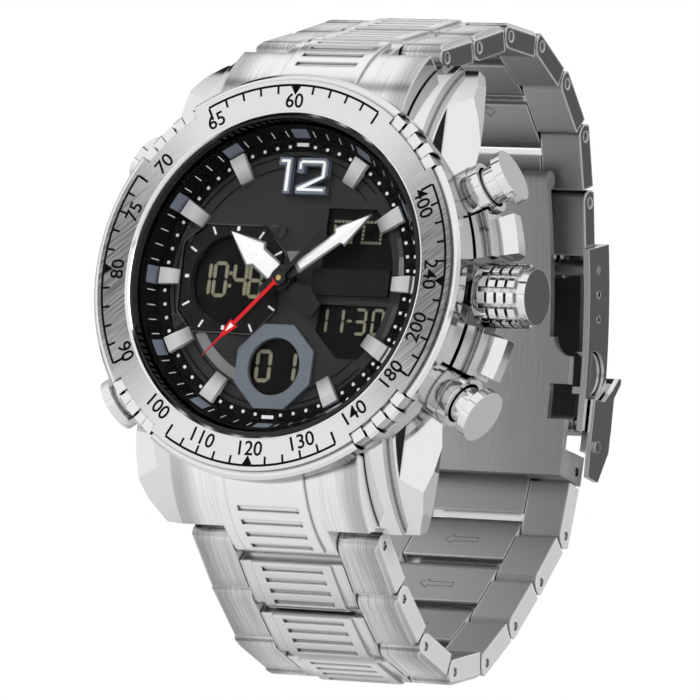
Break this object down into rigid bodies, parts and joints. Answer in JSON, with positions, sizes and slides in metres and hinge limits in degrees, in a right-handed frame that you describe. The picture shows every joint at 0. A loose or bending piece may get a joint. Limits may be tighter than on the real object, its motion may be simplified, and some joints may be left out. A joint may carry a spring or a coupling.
{
  "type": "ana digi watch",
  "caption": "Steel wristwatch with analogue hands over digital windows, castellated bezel, crown, push-pieces, stepped lugs and a link bracelet with a folding clasp and safety flap.",
  "frame": {"origin": "centre of the outer face of the back that lies on the wrist", "axes": "+Z to 12 o'clock, +X to 3 o'clock and the crown's end, dial faces -Y, wrist on +Y"},
  "size_m": [0.0533, 0.062, 0.0772],
  "materials": {
    "polished_steel": "polished, with brushed bands",
    "brushed_steel": "fine brushed",
    "cell_steel": "plain",
    "crystal_glass": "clear, polished",
    "black_rubber": "matt",
    "black_dial": "satin black",
    "grey_dial": "satin dark grey",
    "blue_grey": "satin",
    "display": "gloss black, light segments",
    "board": "solder mask",
    "white_plastic": "moulded",
    "brass_plate": "plain",
    "copper": "enamelled wire",
    "white_hand": "white with black ends",
    "red_hand": "red with a black tail"
  },
  "bodies": {
    "head": {"case_middle": "polished_steel", "bezel_ring": "polished_steel", "bezel_plate": "brushed_steel", "glass": "crystal_glass", "glass_gasket": "black_rubber", "chapter_ring": "black_dial", "case_back": "brushed_steel", "back_gasket": "black_rubber", "back_screws": "polished_steel", "dial_plate": "black_dial", "minute_track": "black_dial", "subdial_plates": "grey_dial", "mode_ring": "blue_grey", "hour_markers": "polished_steel", "numeral_twelve": "polished_steel", "dial_screws": "black_dial", "lcd_cell": "display", "circuit_board": "board", "movement_holder": "white_plastic", "main_plate": "brass_plate", "battery": "cell_steel", "stepper_coil": "copper", "crown_tube": "polished_steel", "pusher_housings": "polished_steel", "pusher_springs": "cell_steel", "lug_spring_bars": "cell_steel", "end_link_12": "polished_steel", "end_link_6": "polished_steel"},
    "lower_link_1": {"link_6_1": "polished_steel"},
    "lower_link_2": {"link_6_2": "polished_steel"},
    "lower_link_3": {"link_6_3": "polished_steel"},
    "lower_link_4": {"link_6_4": "polished_steel"},
    "lower_link_5": {"link_6_5": "polished_steel"},
    "lower_link_6": {"link_6_6": "polished_steel"},
    "lower_link_7": {"link_6_7": "polished_steel"},
    "lower_link_8": {"link_6_8": "polished_steel"},
    "clasp_inner": {"clasp_inner_blade": "brushed_steel"},
    "clasp_middle": {"clasp_middle_blade": "brushed_steel"},
    "clasp_outer": {"clasp_cover": "polished_steel", "clasp_spring_bar": "cell_steel"},
    "flap": {"clasp_flap": "polished_steel"},
    "clasp_button_3": {"clasp_button_3": "polished_steel"},
    "clasp_button_9": {"clasp_button_9": "polished_steel"},
    "upper_link_7": {"link_12_7": "polished_steel"},
    "upper_link_6": {"link_12_6": "polished_steel"},
    "upper_link_5": {"link_12_5": "polished_steel"},
    "upper_link_4": {"link_12_4": "polished_steel"},
    "upper_link_3": {"link_12_3": "polished_steel"},
    "upper_link_2": {"link_12_2": "polished_steel"},
    "upper_link_1": {"link_12_1": "polished_steel"},
    "minute": {"minute_hand": "white_hand"},
    "hour": {"hour_hand": "white_hand"},
    "second": {"second_hand": "red_hand"},
    "train": {"gear_train": "brass_plate"},
    "crown_seal": {"crown_gasket": "black_rubber"},
    "crown": {"crown": "polished_steel"},
    "pusher_2": {"pusher_2": "polished_steel"},
    "pusher_4": {"pusher_4": "polished_steel"},
    "pusher_8": {"pusher_8": "polished_steel"},
    "pusher_10": {"pusher_10": "polished_steel"}
  },
  "joints": [
    {"name": "hinge_6_1", "type": "hinge", "parent": "head", "child": "lower_link_1", "pos_m": [0, -0.0027, -0.028], "axis": [1, 0, 0], "range_deg": [0, 12.9]},
    {"name": "hinge_6_2", "type": "hinge", "parent": "lower_link_1", "child": "lower_link_2", "pos_m": [0, 0.00344, -0.03297], "axis": [1, 0, 0], "range_deg": [0, 11.8]},
    {"name": "hinge_6_3", "type": "hinge", "parent": "lower_link_2", "child": "lower_link_3", "pos_m": [0, 0.01006, -0.03727], "axis": [1, 0, 0], "range_deg": [0, 9.5]},
    {"name": "hinge_6_4", "type": "hinge", "parent": "lower_link_3", "child": "lower_link_4", "pos_m": [0, 0.01779, -0.03892], "axis": [1, 0, 0], "range_deg": [-7.7, 0]},
    {"name": "hinge_6_5", "type": "hinge", "parent": "lower_link_4", "child": "lower_link_5", "pos_m": [0, 0.02535, -0.03661], "axis": [1, 0, 0], "range_deg": [-7.3, 0]},
    {"name": "hinge_6_6", "type": "hinge", "parent": "lower_link_5", "child": "lower_link_6", "pos_m": [0, 0.03122, -0.03132], "axis": [1, 0, 0], "range_deg": [-6.6, 0]},
    {"name": "hinge_6_7", "type": "hinge", "parent": "lower_link_6", "child": "lower_link_7", "pos_m": [0, 0.0363, -0.02527], "axis": [1, 0, 0], "range_deg": [-7.7, 0]},
    {"name": "hinge_6_8", "type": "hinge", "parent": "lower_link_7", "child": "lower_link_8", "pos_m": [0, 0.04105, -0.01896], "axis": [1, 0, 0], "range_deg": [-11.9, 0]},
    {"name": "end_pin_turn", "type": "hinge", "parent": "lower_link_8", "child": "clasp_inner", "pos_m": [0, 0.04215, -0.01114], "axis": [1, 0, 0], "range_deg": [-18.2, 0]},
    {"name": "clasp_unfold", "type": "hinge", "parent": "clasp_inner", "child": "clasp_middle", "pos_m": [0, 0.03209, 0.02153], "axis": [1, 0, 0], "range_deg": [0, 150]},
    {"name": "cover_turn", "type": "hinge", "parent": "clasp_middle", "child": "clasp_outer", "pos_m": [0, 0.04066, -0.0056], "axis": [1, 0, 0], "range_deg": [-35.1, 0]},
    {"name": "flap_open", "type": "hinge", "parent": "clasp_outer", "child": "flap", "pos_m": [0, 0.04241, -0.00804], "axis": [-1, 0, 0], "range_deg": [0, 95]},
    {"name": "clasp_button_3_press", "type": "slide", "parent": "clasp_outer", "child": "clasp_button_3", "axis": [-1, 0, 0], "range_m": [0, 0.0008], "stiffness_N_per_m": 1000, "springref_m": -0.0004},
    {"name": "clasp_button_9_press", "type": "slide", "parent": "clasp_outer", "child": "clasp_button_9", "axis": [1, 0, 0], "range_m": [0, 0.0008], "stiffness_N_per_m": 1000, "springref_m": -0.0004},
    {"name": "hinge_12_7", "type": "hinge", "parent": "clasp_outer", "child": "upper_link_7", "pos_m": [0, 0.03907, 0.01244], "axis": [1, 0, 0], "range_deg": [0, 4.3]},
    {"name": "hinge_12_6", "type": "hinge", "parent": "upper_link_7", "child": "upper_link_6", "pos_m": [0, 0.03663, 0.01995], "axis": [1, 0, 0], "range_deg": [-6.7, 0]},
    {"name": "hinge_12_5", "type": "hinge", "parent": "upper_link_6", "child": "upper_link_5", "pos_m": [0, 0.03342, 0.02717], "axis": [1, 0, 0], "range_deg": [-8.7, 0]},
    {"name": "hinge_12_4", "type": "hinge", "parent": "upper_link_5", "child": "upper_link_4", "pos_m": [0, 0.02719, 0.03203], "axis": [1, 0, 0], "range_deg": [-17.2, 0]},
    {"name": "hinge_12_3", "type": "hinge", "parent": "upper_link_4", "child": "upper_link_3", "pos_m": [0, 0.01977, 0.03473], "axis": [1, 0, 0], "range_deg": [-22.3, 0]},
    {"name": "hinge_12_2", "type": "hinge", "parent": "upper_link_3", "child": "upper_link_2", "pos_m": [0, 0.0119, 0.03405], "axis": [1, 0, 0], "range_deg": [-22.7, 0]},
    {"name": "hinge_12_1", "type": "hinge", "parent": "upper_link_2", "child": "upper_link_1", "pos_m": [0, 0.00462, 0.03096], "axis": [1, 0, 0], "range_deg": [-17.7, 0]},
    {"name": "minute_turn", "type": "hinge", "parent": "head", "child": "minute", "pos_m": [0, -0.0126, 0], "axis": [0, 1, 0], "continuous": true},
    {"name": "hour_turn", "type": "hinge", "parent": "head", "child": "hour", "pos_m": [0, -0.0122, 0], "axis": [0, 1, 0], "continuous": true},
    {"name": "train_turn", "type": "hinge", "parent": "head", "child": "train", "pos_m": [-0.00376, -0.0078, 0.00137], "axis": [0, 1, 0], "continuous": true},
    {"name": "second_turn", "type": "hinge", "parent": "head", "child": "second", "pos_m": [0, -0.013, 0], "axis": [0, 1, 0], "continuous": true},
    {"name": "crown_pull", "type": "slide", "parent": "head", "child": "crown_seal", "axis": [1, 0, 0], "range_m": [0, 0.0012]},
    {"name": "crown_turn", "type": "hinge", "parent": "crown_seal", "child": "crown", "pos_m": [0.026, -0.0075, 0], "axis": [1, 0, 0], "continuous": true},
    {"name": "pusher_2_press", "type": "slide", "parent": "head", "child": "pusher_2", "axis": [-0.8746, 0, -0.4848], "range_m": [0, 0.0008], "stiffness_N_per_m": 1200, "springref_m": -0.0005},
    {"name": "pusher_4_press", "type": "slide", "parent": "head", "child": "pusher_4", "axis": [-0.8746, 0, 0.4848], "range_m": [0, 0.0008], "stiffness_N_per_m": 1200, "springref_m": -0.0005},
    {"name": "pusher_8_press", "type": "slide", "parent": "head", "child": "pusher_8", "axis": [0.8387, 0, 0.5446], "range_m": [0, 0.0008], "stiffness_N_per_m": 1200, "springref_m": -0.0005},
    {"name": "pusher_10_press", "type": "slide", "parent": "head", "child": "pusher_10", "axis": [0.8387, 0, -0.5446], "range_m": [0, 0.0008], "stiffness_N_per_m": 1200, "springref_m": -0.0005}
  ],
  "couplings": [
    {"joint": "hinge_6_1", "follows": "clasp_unfold", "ratio": 0.084526},
    {"joint": "hinge_6_2", "follows": "clasp_unfold", "ratio": 0.076918},
    {"joint": "hinge_6_3", "follows": "clasp_unfold", "ratio": 0.06187},
    {"joint": "hinge_6_4", "follows": "clasp_unfold", "ratio": -0.049556},
    {"joint": "hinge_6_5", "follows": "clasp_unfold", "ratio": -0.04688},
    {"joint": "hinge_6_6", "follows": "clasp_unfold", "ratio": -0.042485},
    {"joint": "hinge_6_7", "follows": "clasp_unfold", "ratio": -0.04954},
    {"joint": "hinge_6_8", "follows": "clasp_unfold", "ratio": -0.077526},
    {"joint": "end_pin_turn", "follows": "clasp_unfold", "ratio": -0.11964},
    {"joint": "cover_turn", "follows": "clasp_unfold", "ratio": -0.23231},
    {"joint": "hinge_12_7", "follows": "clasp_unfold", "ratio": 0.026978},
    {"joint": "hinge_12_6", "follows": "clasp_unfold", "ratio": -0.043066},
    {"joint": "hinge_12_5", "follows": "clasp_unfold", "ratio": -0.056638},
    {"joint": "hinge_12_4", "follows": "clasp_unfold", "ratio": -0.11294},
    {"joint": "hinge_12_3", "follows": "clasp_unfold", "ratio": -0.14704},
    {"joint": "hinge_12_2", "follows": "clasp_unfold", "ratio": -0.14997},
    {"joint": "hinge_12_1", "follows": "clasp_unfold", "ratio": -0.11618},
    {"joint": "hour_turn", "follows": "minute_turn", "ratio": 0.083333},
    {"joint": "train_turn", "follows": "minute_turn", "ratio": -0.33333}
  ]
}
